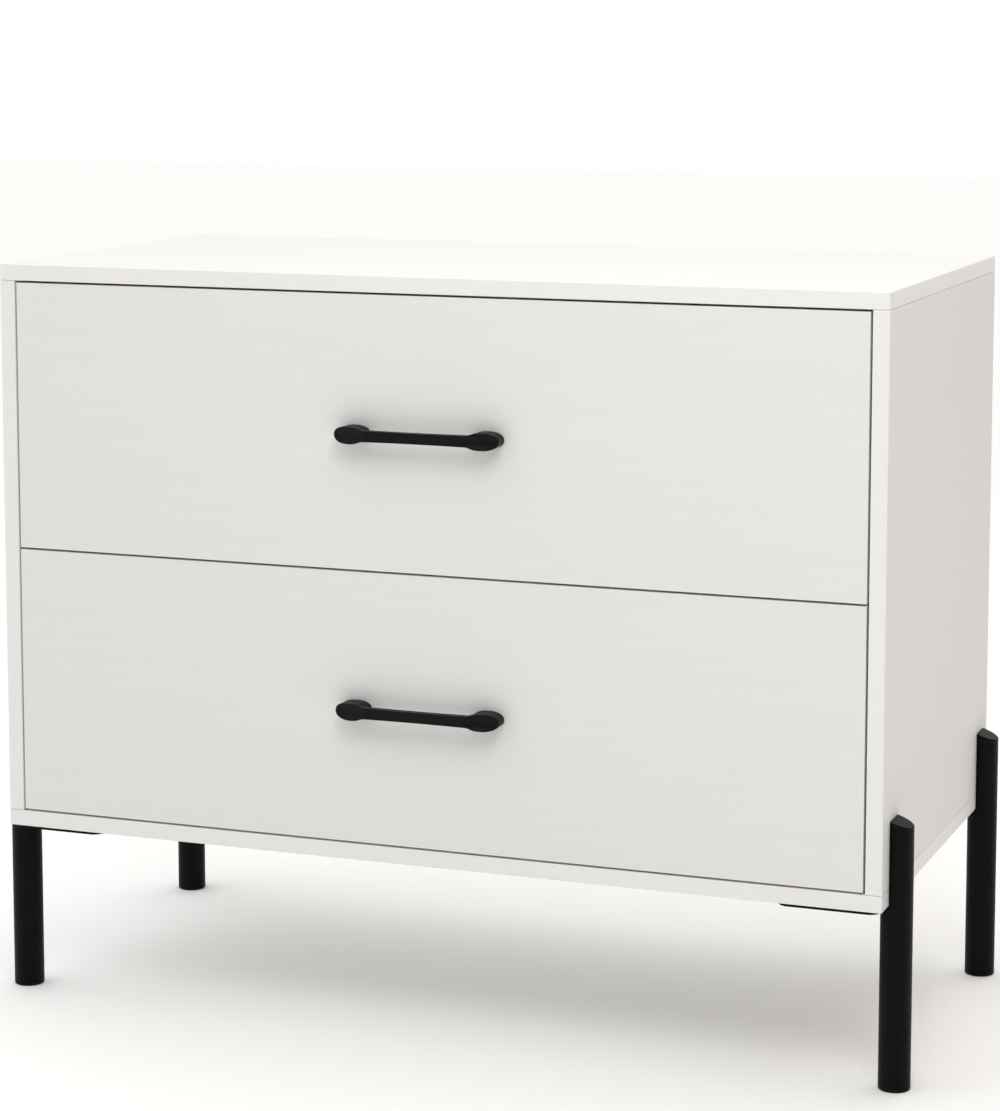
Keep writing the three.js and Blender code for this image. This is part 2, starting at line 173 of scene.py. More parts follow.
class StageSettings(bpy.types.PropertyGroup):
    """Floor, light and camera."""

    floor_size: length("Floor size", "Of the square floor", 30000)
    lens: number("Lens", "Focal length", 101.22, subtype="DISTANCE_CAMERA")
    shift: number("Shift", "The camera's vertical shift", -0.155)
    yaw: tilt("Yaw", "How far the camera looks to the left of straight on", 20.673)
    pitch: tilt("Pitch", "How far the camera looks down", 6.755)
    key_power: number("Key", "Watts of the key light", 4)
    fill_power: number("Fill", "Watts of the fill light", 16)
    walls: number("Walls", "Strength of the bright walls", 1.04)
    shade: number("Shade", "Strength of the duller walls", 0.04)
    ceiling: number("Ceiling", "Added overhead", 0.64)


SETTINGS = {
    "panels": PanelSettings,
    "handles": HandleSettings,
    "legs": LegSettings,
    "slides": SlideSettings,
    "stage": StageSettings,
}


class NightstandSettings(bpy.types.PropertyGroup):
    """All the settings of the nightstand."""

    panels: PointerProperty(type=PanelSettings)
    handles: PointerProperty(type=HandleSettings)
    legs: PointerProperty(type=LegSettings)
    slides: PointerProperty(type=SlideSettings)
    stage: PointerProperty(type=StageSettings)


# ---------------------------------------------------------------- materials


class Nodes:
    """A node tree, with short ways to add to it."""

    def __init__(self, tree):
        self.nodes, self.links = tree.nodes, tree.links

    def add(self, kind, inputs=None, output=0, **settings):
        """A new node's output. An input is a value, another node's output, or a list of them."""
        node = self.nodes.new(kind)
        for key, value in settings.items():
            setattr(node, key, value)
        for key, value in (inputs or {}).items():
            for each in value if isinstance(value, list) else [value]:
                if isinstance(each, bpy.types.NodeSocket):
                    self.links.new(each, node.inputs[key])
                else:
                    node.inputs[key].default_value = each
        return node.outputs[output]

    def math(self, operation, first, second=0.0):
        """One step of arithmetic."""
        return self.add("ShaderNodeMath", {0: first, 1: second}, operation=operation)

    def times(self, first, second):
        """A product."""
        return self.math("MULTIPLY", first, second)

    def ranged(self, value, low, high, from_low=0.3, from_high=0.7, **settings):
        """A value brought into the range from low to high."""
        inputs = {
            "Value": value, "From Min": from_low, "From Max": from_high, "To Min": low, "To Max": high
        }
        return self.add("ShaderNodeMapRange", inputs, **settings)

    def mixed(self, factor, first, second):
        """A colour that goes from one to another as a factor rises."""
        inputs = {"A": first, "B": second, "Factor": factor}
        return self.add("ShaderNodeMix", inputs, output="Result", data_type="RGBA")


class Finish(Nodes):
    """A material with a Principled shader, and short ways to give it a pattern."""

    def __init__(self, name, colour, roughness, metallic=0.0, specular=0.5):
        self.material = bpy.data.materials.new(name)
        self.material.use_nodes = True
        super().__init__(self.material.node_tree)
        self.shader = self.nodes["Principled BSDF"].inputs
        self.colour = self.material.diffuse_color = (*colour, 1.0)
        self.shader["Base Color"].default_value = self.colour
        self.shader["Roughness"].default_value = roughness
        self.shader["Metallic"].default_value = metallic
        self.shader["Specular IOR Level"].default_value = specular

    def place(self, scale=(1.0, 1.0, 1.0)):
        """The piece's own coordinates in metres, stretched by a scale."""
        coordinates = self.add("ShaderNodeTexCoord", output="Object")
        return self.add("ShaderNodeMapping", {"Vector": coordinates, "Scale": scale})

    def noise(self, scale, detail=4.0, rough=0.6, stretch=(1.0, 1.0, 1.0)):
        """Noise with features of about 1 / scale metres, drawn out by a stretch."""
        place = self.place(stretch)
        inputs = {"Vector": place, "Scale": scale, "Detail": detail, "Roughness": rough}
        return self.add("ShaderNodeTexNoise", inputs)

    def shade(self, value, low, high):
        """Drives the base colour from low to high times the finish's own colour."""
        dark, light = ((*(part * share for part in self.colour[:3]), 1.0) for share in (low, high))
        self.links.new(self.mixed(value, dark, light), self.shader["Base Color"])

    def rough(self, value, low, high):
        """Drives the roughness from low to high."""
        self.links.new(self.ranged(value, low, high), self.shader["Roughness"])

    def bump(self, height, depth, strength=1.0):
        """Raises the surface by a height pattern that is depth metres deep."""
        inputs = {"Height": height, "Distance": depth, "Strength": strength}
        self.links.new(self.add("ShaderNodeBump", inputs), self.shader["Normal"])


GRAIN = {"x": (4.0, 620.0, 620.0), "z": (620.0, 620.0, 4.0)}
BROAD_GRAIN = 0.16


def melamine(name, colour, axis):
    """Matte white melamine, with a very faint wood grain that runs along one axis."""
    finish = Finish(name, colour, 0.5, specular=0.4)
    lines = finish.noise(1.0, 5.0, 0.62, GRAIN[axis])
    broad = finish.noise(1.0, 2.0, 0.5, tuple(part * BROAD_GRAIN for part in GRAIN[axis]))
    grain = finish.times(finish.math("ADD", lines, broad), 0.5)
    finish.shade(finish.ranged(grain, 0.0, 1.0, 0.35, 0.65), 0.982, 1.008)
    finish.rough(grain, 0.44, 0.56)
    finish.bump(grain, 0.05 * MM, 0.5)
    return finish.material


def edge_band(name, colour):
    """The plastic band on a board's edge: plain, and a little glossier than the face."""
    finish = Finish(name, colour, 0.42, specular=0.45)
    fine = finish.noise(1600.0, 2.0)
    finish.shade(fine, 0.985, 1.01)
    finish.bump(fine, 0.01 * MM, 0.4)
    return finish.material


def chipboard(name, colour):
    """The unbanded core: pressed chips of lighter and darker wood."""
    finish = Finish(name, colour, 0.85, specular=0.2)
    inputs = {"Vector": finish.place((1.0, 1.0, 1.8)), "Scale": 420.0, "Randomness": 1.0}
    chips = finish.add("ShaderNodeTexVoronoi", inputs, output="Color")
    tone = finish.add("ShaderNodeSeparateColor", {"Color": chips})
    both = finish.times(tone, finish.noise(1800.0, 3.0))
    finish.shade(finish.ranged(both, 0.0, 1.0, 0.0, 0.6), 0.62, 1.35)
    finish.bump(both, 0.25 * MM, 0.7)
    return finish.material


def plain_foil(name, colour):
    """The paper foil on the drawer boards, with a faint linen tooth."""
    finish = Finish(name, colour, 0.55, specular=0.4)
    tooth = finish.noise(900.0, 3.0)
    finish.shade(tooth, 0.98, 1.015)
    finish.rough(tooth, 0.48, 0.62)
    finish.bump(tooth, 0.03 * MM, 0.5)
    return finish.material


def hardboard(name, colour):
    """White lacquer over pressed fibres, which show as short soft flecks."""
    finish = Finish(name, colour, 0.6, specular=0.35)
    fibres = finish.noise(260.0, 6.0, 0.7, (1.0, 1.0, 2.4))
    finish.shade(fibres, 0.95, 1.03)
    finish.rough(fibres, 0.5, 0.7)
    finish.bump(fibres, 0.12 * MM, 0.6)
    return finish.material


def powder_coat(name, colour, specular):
    """Matte black powder coat, with the fine pebbled skin that it cures to."""
    finish = Finish(name, colour, 0.45, specular=specular)
    pebbles = finish.noise(1500.0, 2.0, 0.5)
    finish.shade(finish.noise(45.0, 2.0, 0.5), 0.85, 1.25)
    finish.rough(pebbles, 0.4, 0.52)
    finish.bump(pebbles, 0.06 * MM, 0.65)
    return finish.material


def moulded_plastic(name, colour, roughness, specular=0.45):
    """Moulded plastic with a spark-eroded skin."""
    finish = Finish(name, colour, roughness, specular=specular)
    skin = finish.noise(2400.0, 2.0, 0.5)
    finish.shade(skin, 0.94, 1.05)
    finish.rough(skin, roughness - 0.06, roughness + 0.08)
    finish.bump(skin, 0.02 * MM, 0.6)
    return finish.material


def zinc_plate(name, colour):
    """Bright zinc on rolled steel, with fine lines along the rolling direction."""
    finish = Finish(name, colour, 0.3, metallic=1.0)
    lines = finish.noise(1.0, 4.0, 0.6, (900.0, 14.0, 900.0))
    finish.shade(finish.noise(70.0, 3.0, 0.55), 0.86, 1.1)
    finish.rough(lines, 0.2, 0.4)
    finish.bump(lines, 0.015 * MM, 0.5)
    return finish.material


def pale_floor():
    """A plain pale floor."""
    finish = Finish("pale_floor", (0.95, 0.95, 0.945), 0.8, specular=0.1)
    finish.shade(finish.noise(3.0, 2.0), 0.995, 1.005)
    return finish.material


def finishes():
    """Every finish of the nightstand, made once and then found by name."""
    settings = bpy.context.scene.nightstand
    panels, black = settings.panels, settings.handles.black
    makers = {
        "melamine_along_x": (melamine, panels.melamine, "x"),
        "melamine_along_z": (melamine, panels.melamine, "z"),
        "edge_band": (edge_band, panels.band),
        "chipboard_core": (chipboard, panels.chipboard),
        "drawer_foil": (plain_foil, panels.drawer_foil),
        "white_hardboard": (hardboard, panels.hardboard),
        "matte_black_coat": (powder_coat, black, 0.08),
        "satin_black_coat": (powder_coat, black, 0.13),
        "black_foot_plastic": (moulded_plastic, settings.legs.foot, 0.45, 0.1),
        "white_moulded_plastic": (moulded_plastic, panels.drawer_foil, 0.4),
        "zinc_plate": (zinc_plate, settings.slides.zinc),
    }
    for name, (make, *details) in makers.items():
        if name not in bpy.data.materials:
            make(name, *details)
    return bpy.data.materials


# ---------------------------------------------------------------- meshes and pieces


def linked(name, mesh, *materials):
    """A new object at the origin that shows a mesh with these materials."""
    made = bpy.data.objects.new(name, mesh)
    bpy.context.scene.collection.objects.link(made)
    for material in materials:
        mesh.materials.append(material)
    return made


def mesh_of(bm, name):
    """A mesh from a bmesh, which is freed."""
    mesh = bpy.data.meshes.new(name)
    bm.to_mesh(mesh)
    bm.free()
    return mesh


def bare_mesh(name, points, faces=()):
    """A mesh straight from its points and faces."""
    mesh = bpy.data.meshes.new(name)
    mesh.from_pydata([tuple(p) for p in points], [], [tuple(f) for f in faces])
    return mesh


def settle(piece):
    """Applies a piece's modifiers, and leaves it a plain mesh with none."""
    depsgraph = bpy.context.evaluated_depsgraph_get()
    mesh = bpy.data.meshes.new_from_object(piece.evaluated_get(depsgraph))
    piece.modifiers.clear()
    piece.data = mesh
    return piece


def smooth(mesh, degrees):
    """Smooth shading, with edges sharper than an angle left crisp."""
    mesh.shade_smooth()
    mesh.set_sharp_from_angle(angle=math.radians(degrees))


def rest_on(piece, body, slot, *nodes):
    """Attaches a finished piece to its body and hides the CAD nodes that it stands for. The slot is not
    used.
    """
    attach(piece, body)
    if nodes:
        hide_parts(*nodes)


def merged(node):
    """A CAD node's surface as a bmesh, with its flat faces whole again."""
    weld, flat = 0.002 * MM, math.radians(0.5)
    bm = bmesh.new()
    bm.from_mesh(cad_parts[node].data)
    bmesh.ops.remove_doubles(bm, verts=bm.verts, dist=weld)
    bmesh.ops.dissolve_limit(bm, angle_limit=flat, verts=bm.verts[:], edges=bm.edges[:])
    return bm


def ease_edges(bm, radius):
    """Rounds the edges that stand out, such as a board's arrises."""
    crisp = math.radians(50)
    arrises = [
        edge for edge in bm.edges
        if edge.is_manifold and edge.is_convex and edge.calc_face_angle() > crisp
    ]
    bmesh.ops.bevel(
        bm, geom=arrises, offset=radius, offset_type="OFFSET", segments=3, profile=0.5,
        affect="EDGES", clamp_overlap=True,
    )


FACE, BAND, CORE = range(3)


def board_zone(node, raw_rear):
    """Tells which finish each face of a board takes: faced, banded, or bare core."""
    low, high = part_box(node)
    thin = min(range(3), key=lambda k: high[k] - low[k])
    near = 1.2 * MM

    def zone(face):
        centre = face.calc_center_median()
        depths = [min(centre[k] - low[k], high[k] - centre[k]) for k in range(3)]
        if abs(face.normal[thin]) > 0.99:
            return FACE if depths[thin] < near else CORE
        if not any(depths[k] < near for k in range(3) if k != thin):
            return CORE
        return CORE if raw_rear and face.normal.y > 0.99 else BAND

    return zone


def board_piece(node, name, body, slot, radius, looks, raw_rear=False):
    """A CAD board with eased edges, in one finish or faced, banded and cored with three."""
    bm = merged(node)
    ease_edges(bm, radius)
    for face in bm.faces:
        face.smooth = False
    if len(looks) > 1:
        zone = board_zone(node, raw_rear)
        bm.normal_update()
        for face in bm.faces:
            face.material_index = zone(face)
    found = finishes()
    piece = linked(name, mesh_of(bm, name), *(found[look] for look in looks))
    rest_on(piece, body, slot, node)


def turned(name, profile, facets):
    """A closed solid of revolution about Z, from (radius, height) pairs that end on the axis."""
    rings, points = [], []
    for radius, height in profile:
        if radius == 0:
            rings.append([len(points)] * facets)
            points.append((0.0, 0.0, height))
            continue
        rings.append([len(points) + n for n in range(facets)])
        for n in range(facets):
            angle = 2 * math.pi * n / facets
            points.append((radius * math.cos(angle), radius * math.sin(angle), height))
    return bare_mesh(name, points, bridged(rings))


def bridged(rings):
    """The faces between each ring and the next. A ring that repeats one point closes the end."""
    for below, above in zip(rings, rings[1:]):
        for n in range(len(below)):
            m = (n + 1) % len(below)
            yield tuple(dict.fromkeys((below[n], below[m], above[m], above[n])))


def arc(centre, radius, start, end, steps):
    """Points on an arc, both ends included. Angles are in degrees."""
    for n in range(steps + 1):
        angle = math.radians(start + (end - start) * n / steps)
        yield centre[0] + radius * math.cos(angle), centre[1] + radius * math.sin(angle)


# ---------------------------------------------------------------- Geometry Nodes


SOCKETS = {float: "Float", int: "Int", tuple: "Vector", type(None): "Material"}


class Growth(Nodes):
    """A Geometry Nodes tree with named inputs, whose kinds follow from their defaults."""

    def __init__(self, name, inputs):
        self.tree = bpy.data.node_groups.new(name, "GeometryNodeTree")
        super().__init__(self.tree)
        face = self.tree.interface
        face.new_socket("Geometry", in_out="INPUT", socket_type="NodeSocketGeometry")
        for label, default in inputs.items():
            kind = "NodeSocket" + SOCKETS[type(default)]
            made = face.new_socket(label, in_out="INPUT", socket_type=kind)
            if default is not None:
                made.default_value = default
        face.new_socket("Geometry", in_out="OUTPUT", socket_type="NodeSocketGeometry")
        self.start = self.nodes.new("NodeGroupInput")
        self.end = self.nodes.new("NodeGroupOutput")

    def __getitem__(self, label):
        return self.start.outputs[label]

    def less(self, first, second):
        """A difference."""
        return self.math("SUBTRACT", first, second)

    def vector(self, x=0.0, y=0.0, z=0.0):
        """A vector from its three parts."""
        return self.add("ShaderNodeCombineXYZ", {"X": x, "Y": y, "Z": z})

    def position(self):
        """The three parts of each point's place."""
        inputs = {"Vector": self.add("GeometryNodeInputPosition")}
        return self.add("ShaderNodeSeparateXYZ", inputs).node.outputs

    def moved(self, geometry, offset=None, turn=None):
        """Geometry turned about the origin, then moved."""
        inputs = {"Geometry": geometry}
        if offset is not None:
            inputs["Translation"] = offset
        if turn is not None:
            inputs["Rotation"] = turn
        return self.add("GeometryNodeTransform", inputs)

    def boolean(self, operation, **inputs):
        """Solids cut from one another, or made one."""
        inputs = {key.replace("_", " "): value for key, value in inputs.items()}
        return self.add("GeometryNodeMeshBoolean", inputs, operation=operation, solver="EXACT")

    def cut(self, geometry, *tools):
        """Geometry with the tools taken away."""
        return self.boolean("DIFFERENCE", Mesh_1=geometry, Mesh_2=list(tools))

    def block(self, size):
        """A box, centred on the origin."""
        return self.add("GeometryNodeMeshCube", {"Size": size})

    def cylinder(self, radius, depth, facets, side_segments=1):
        """An upright cylinder, centred on the origin."""
        inputs = {"Vertices": facets, "Side Segments": side_segments, "Radius": radius, "Depth": depth}
        return self.add("GeometryNodeMeshCylinder", inputs)

    def smoothed(self, geometry):
        """Geometry with smooth shading."""
        inputs = {"Geometry": geometry, "Shade Smooth": True}
        return self.add("GeometryNodeSetShadeSmooth", inputs)

    def in_row(self, instance, count, first, step):
        """Copies of an instance in a row."""
        inputs = {"Count": count, "Start Location": first, "Offset": step}
        row = self.add("GeometryNodeMeshLine", inputs)
        return self.add("GeometryNodeInstanceOnPoints", {"Points": row, "Instance": instance})

    def on_points(self, instance, **inputs):
        """A copy of an instance on each point of the starting mesh."""
        points = self.add("GeometryNodeMeshToPoints", {"Mesh": self["Geometry"]})
        inputs |= {"Points": points, "Instance": instance}
        return self.add("GeometryNodeInstanceOnPoints", inputs)

    def finish(self, geometry):
        """Ends the tree with real geometry in the Material input's finish."""
        real = self.add("GeometryNodeRealizeInstances", {"Geometry": geometry})
        inputs = {"Geometry": real, "Material": self["Material"]}
        self.links.new(self.add("GeometryNodeSetMaterial", inputs), self.end.inputs[0])
        return self.tree


def grow(name, tree, mesh, inputs, then=None):
    """An object whose plain mesh is what a tree makes of a starting mesh."""
    piece = linked(name, mesh)
    modifier = piece.modifiers.new(tree.name, "NODES")
    modifier.node_group = tree
    for item in tree.interface.items_tree:
        if item.in_out == "INPUT" and item.name in inputs:
            modifier[item.identifier] = inputs[item.name]
    if then:
        then(piece)
    return settle(piece)


def tree_named(name, make):
    """The tree of that name, which make builds the first time."""
    return bpy.data.node_groups.get(name) or make(name)


def screw_tree(name):
    """Domed heads with a cross recess and a plain shank, one on each point."""
    grown = Growth(name, {
        "Head Diameter": 8 * MM, "Head Height": 2.4 * MM, "Dome": 0.55, "Recess": 0.9 * MM,
        "Shank Diameter": 4 * MM, "Shank Length": 3 * MM, "Facing": (0.0, 0.0, 1.0), "Seed": 7,
        "Material": None,
    })
    times, height = grown.times, grown["Head Height"]
    blank = grown.cylinder(times(grown["Head Diameter"], 0.5), height, 28, side_segments=6)
    blank = grown.moved(blank, grown.vector(z=times(height, 0.5)))

    # Each ring narrows as the square root of one less Dome times the cube of its share of height.
    x, y, z = grown.position()
    narrowing = times(grown.math("POWER", grown.math("DIVIDE", z, height), 3.0), grown["Dome"])
    scale = grown.math("SQRT", grown.less(1.0, narrowing))
    place = grown.vector(times(x, scale), times(y, scale), z)
    domed = grown.add("GeometryNodeSetPosition", {"Geometry": blank, "Position": place})

    recess, reach = grown["Recess"], times(grown["Head Diameter"], 0.52)
    deep = times(height, 1.2)
    bars = [
        grown.moved(grown.block(size), grown.vector(z=height))
        for size in (grown.vector(reach, recess, deep), grown.vector(recess, reach, deep))
    ]
    head = grown.cut(domed, *bars)

    shank = grown.cylinder(times(grown["Shank Diameter"], 0.5), grown["Shank Length"], 20)
    shank = grown.moved(shank, grown.vector(z=times(grown["Shank Length"], -0.49)))
    screw = grown.boolean("UNION", Mesh_2=[head, shank])

    inputs = {2: 0.0, 3: math.pi, "Seed": grown["Seed"]}
    spin = grown.add("FunctionNodeRandomValue", inputs, output=1, data_type="FLOAT")
    inputs = {
        "Rotation": grown.add("FunctionNodeAlignRotationToVector", {"Vector": grown["Facing"]}),
        "Rotate By": grown.add("FunctionNodeEulerToRotation", {0: grown.vector(z=spin)}),
    }
    rotation = grown.add("FunctionNodeRotateRotation", inputs, rotation_space="LOCAL")
    return grown.finish(grown.on_points(screw, Rotation=rotation))


def slot_tree(name):
    """Takes a row of round-ended slots out of a mesh, through a web that faces X."""
    grown = Growth(name, {
        "Slot Length": 11 * MM, "Slot Width": 4.6 * MM, "Depth": 3 * MM, "Count": 4,
        "First": (0.0, 0.0, 0.0), "Step": (0.0, 0.04, 0.0), "Material": None,
    })
    width = grown["Slot Width"]
    rod = grown.cylinder(grown.times(width, 0.5), grown["Depth"], 20)
    half_run = grown.times(grown.less(grown["Slot Length"], width), 0.5)
    away = grown.vector(y=grown.times(grown.math("SIGN", grown.position()[1]), half_run))
    cutter = grown.add("GeometryNodeSetPosition", {"Geometry": rod, "Offset": away})
    cutter = grown.moved(cutter, turn=(0.0, math.pi / 2, 0.0))
    cutters = grown.in_row(cutter, grown["Count"], grown["First"], grown["Step"])
    real = grown.add("GeometryNodeRealizeInstances", {"Geometry": cutters})
    return grown.finish(grown.cut(grown["Geometry"], real))


def cage_tree(name):
    """A ball cage on each point: a row of balls along Y, in a strip with turned-up ends."""
    grown = Growth(name, {
        "Ball Diameter": 3 * MM, "Pitch": 7.5 * MM, "Count": 17, "Strip Width": 4.6 * MM,
        "Strip Thickness": 0.5 * MM, "Material": None,
    })
    times, pitch, count, diameter = grown.times, grown["Pitch"], grown["Count"], grown["Ball Diameter"]
    inputs = {"Segments": 16, "Rings": 10, "Radius": times(diameter, 0.5)}
    ball = grown.smoothed(grown.add("GeometryNodeMeshUVSphere", inputs))
    run = times(pitch, grown.less(count, 1.0))
    start = grown.vector(y=times(run, -0.5))
    balls = grown.in_row(ball, count, start, grown.vector(y=pitch))
    width, thickness = grown["Strip Width"], grown["Strip Thickness"]
    strip_length = grown.math("ADD", run, times(pitch, 1.2))
    strip = grown.block(grown.vector(width, strip_length, thickness))
    lip = grown.vector(width, thickness, times(diameter, 0.8))
    lips = [
        grown.moved(grown.block(lip), grown.vector(y=times(strip_length, share)))
        for share in (-0.5, 0.5)
    ]
    strip = grown.boolean("UNION", Mesh_2=[strip, *lips])
    cage = grown.add("GeometryNodeJoinGeometry", {"Geometry": [strip, balls]})
    return grown.finish(grown.on_points(cage))


def leg_tree(name):
    """A tube cut back to a D where it climbs a side panel, with a closed top that slopes away.

    It is made about its own axis with the panel towards -X, then turned and placed.
    """
    grown = Growth(name, {
        "Diameter": 28.6 * MM, "Wall": 1.5 * MM, "Bottom": 4 * MM, "Top": 242 * MM,
        "Shelf": 164 * MM, "Panel Face": 3.8 * MM, "Top Slope": math.radians(20), "Facets": 96,
        "Turn": 0.0, "Place": (0.0, 0.0, 0.0), "Material": None,
    })
    less = grown.less
    radius = grown.times(grown["Diameter"], 0.5)
    wall, bottom, top = grown["Wall"], grown["Bottom"], grown["Top"]
    panel_x = grown.times(grown["Panel Face"], -1.0)
    big, spare = 0.2, 0.02
    block = grown.block((big, big, big))

    def sloped_rod(rod_radius, low, high):
        """A rod whose top slopes down from a height at the panel."""
        tall = grown.math("ADD", less(high, low), spare)
        rod = grown.cylinder(rod_radius, tall, grown["Facets"])
        rod = grown.moved(rod, grown.vector(z=grown.math("ADD", low, grown.times(tall, 0.5))))
        wedge = grown.moved(block, (0.0, 0.0, big / 2))
        wedge = grown.moved(wedge, turn=grown.vector(y=grown["Top Slope"]))
        return grown.cut(rod, grown.moved(wedge, grown.vector(panel_x, z=high)))

    roof = grown.math("DIVIDE", wall, grown.math("COSINE", grown["Top Slope"]))
    bore = sloped_rod(less(radius, wall), less(bottom, 1 * MM), less(top, roof))
    notch_x, notch_z = less(panel_x, big / 2), grown.math("ADD", grown["Shelf"], big / 2)
    notch = grown.moved(block, grown.vector(notch_x, z=notch_z))
    leg = grown.smoothed(grown.cut(sloped_rod(radius, bottom, top), bore, notch))
    leg = grown.moved(leg, turn=grown.vector(z=grown["Turn"]))
    return grown.finish(grown.moved(leg, grown["Place"]))


def weld_tree(name):
    """A rippled weld bead on each point: part of a ring, on the side of the cabinet's middle."""
    grown = Growth(name, {
        "Ring Radius": 14.3 * MM, "Bead Radius": 1.7 * MM, "Sweep": math.radians(120),
        "Ripple": 0.35 * MM, "Material": None,
    })
    sweep = grown["Sweep"]
    start = grown.less(math.pi, grown.times(sweep, 0.5))
    inputs = {
        "Resolution": 90, "Radius": grown["Ring Radius"], "Start Angle": start, "Sweep Angle": sweep
    }
    path = grown.add("GeometryNodeCurveArc", inputs)
    inputs = {"Resolution": 12, "Radius": grown["Bead Radius"]}
    ring = grown.add("GeometryNodeCurvePrimitiveCircle", inputs)
    inputs = {"Curve": path, "Profile Curve": ring, "Fill Caps": True}
    bead = grown.add("GeometryNodeCurveToMesh", inputs)
    ripples = grown.add("ShaderNodeTexNoise", {"Scale": 420.0, "Detail": 2.0})
    swell = grown.times(grown.less(ripples, 0.5), grown["Ripple"])
    inputs = {0: grown.add("GeometryNodeInputNormal"), "Scale": swell}
    offset = grown.add("ShaderNodeVectorMath", inputs, operation="SCALE")
    bead = grown.add("GeometryNodeSetPosition", {"Geometry": bead, "Offset": offset})
    turn = grown.times(grown.math("LESS_THAN", grown.position()[0], 0.0), math.pi)
    rotation = grown.add("FunctionNodeEulerToRotation", {0: grown.vector(z=turn)})
    return grown.finish(grown.on_points(grown.smoothed(bead), Rotation=rotation))


def screws(name, places, facing, body, slot="zinc_steel", material="zinc_plate", nodes=(), **sizes):
    """A set of screws or caps of one size that face one way, on one body."""
    inputs = {key.replace("_", " ").title(): value for key, value in sizes.items()}
    inputs |= {"Facing": tuple(facing), "Material": finishes()[material]}
    tree = tree_named("Cross-recess screws", screw_tree)
    piece = grow(name, tree, bare_mesh(name, places), inputs)
    smooth(piece.data, 40)
    rest_on(piece, body, slot, *nodes)


# ---------------------------------------------------------------- operators


FACED = {axis: (f"melamine_along_{axis}", "edge_band", "chipboard_core") for axis in GRAIN}
FOILED = ("drawer_foil", "drawer_foil", "chipboard_core")


def side_x(box, sign):
    """The x of a box's right face where the sign is above zero, and of its left face otherwise."""
    return box[sign > 0].x


class NIGHTSTAND_OT_cabinet(bpy.types.Operator):
    """Make the top, bottom and side panels of faced chipboard with banded edges"""

    bl_idname = "nightstand.cabinet"
    bl_label = "Cabinet panels"

    def execute(self, context):
        radius = context.scene.nightstand.panels.edge_radius
        for node, axis in (
            ("top_panel", "x"), ("bottom_panel", "x"), ("left_side_panel", "z"), ("right_side_panel", "z")
        ):
            raw = node != "top_panel"
            board_piece(node, f"{node}_faced", "cabinet", "melamine", radius, FACED[axis], raw)
        return {"FINISHED"}


class NIGHTSTAND_OT_back(bpy.types.Operator):
    """Make the two sheets of the back and the strip that joins them"""

    bl_idname = "nightstand.back"
    bl_label = "Back"

    def execute(self, context):
        radius, body = context.scene.nightstand.panels.sheet_radius, "cabinet"
        for level in LEVELS:
            node, name = f"{level}_back_panel", f"{level}_back_sheet"
            board_piece(node, name, body, "hardboard", radius, ["white_hardboard"])
        node, name = "back_joining_strip", "back_strip_extrusion"
        board_piece(node, name, body, "white_plastic", radius, ["white_moulded_plastic"])
        return {"FINISHED"}


class NIGHTSTAND_OT_drawers(bpy.types.Operator):
    """Make the drawer fronts, sides, backs, bottoms and battens"""

    bl_idname = "nightstand.drawers"
    bl_label = "Drawers"

    def execute(self, context):
        panels = context.scene.nightstand.panels
        for level in LEVELS:
            body = f"{level}_drawer"
            node, radius = f"{body}_front", panels.edge_radius
            board_piece(node, f"{node}_faced", body, "melamine", radius, FACED["x"])
            for part in ("left_side", "right_side", "back", "brace"):
                node, radius, raw = f"{body}_{part}", panels.foil_radius, part != "back"
                board_piece(node, f"{node}_foiled", body, "drawer_board", radius, FOILED, raw)
            node, radius = f"{body}_bottom", panels.sheet_radius
            board_piece(node, f"{node}_sheet", body, "hardboard", radius, ["white_hardboard"])
        return {"FINISHED"}


def handle_half_height(settings, x):
    """Half the handle's height at a distance from its middle: a waisted bar that flares to ovals."""
    centre, half_length = settings.hole_spacing / 2, settings.end_length / 2
    u = min(1.0, abs(x - centre) / half_length)
    oval = settings.end_height / 2 * (1 - u**settings.fullness) ** (1 / settings.fullness)
    waist = settings.waist_height / 2
    bar = waist + (settings.bar_height / 2 - waist) * (x / centre) ** 2
    t = min(1.0, max(0.0, (x - centre + half_length) / half_length))
    bar *= 1 - t * t * (3 - 2 * t)
    sharpness = 6
    return (bar**sharpness + oval**sharpness) ** (1 / sharpness)


def handle_outline(settings):
    """Points round the handle, seen from the front, mirrored about both axes."""
    tip = (settings.hole_spacing + settings.end_length) / 2
    steps = settings.outline_steps
    xs = [tip * math.sin(n / steps * math.pi / 2) for n in range(steps)]
    quarter = [(x, handle_half_height(settings, x)) for x in xs]
    right = [(x, -z) for x, z in quarter] + [(tip, 0.0)] + quarter[::-1]
    left = [(-x, z) for x, z in quarter[1:]] + [(-tip, 0.0)]
    return right + left + [(-x, -z) for x, z in quarter[:0:-1]]


def handle_relief(settings, x, z):
    """How far the front face lies behind the bar's: the ends sweep back, and hold a hollow."""
    centre, half_length = settings.hole_spacing / 2, settings.end_length / 2
    u = abs(x) - centre
    swept = settings.end_sweep * (max(0.0, u + half_length) / settings.end_length) ** 2
    reach = half_length - settings.dish_rim
    towards_bar = 1.12 * half_length
    half = settings.end_height / 2 - settings.dish_rim
    w = (u / (reach if u > 0 else towards_bar)) ** 2 + (z / half) ** 2
    return swept + settings.dish_depth * max(0.0, 1 - w)


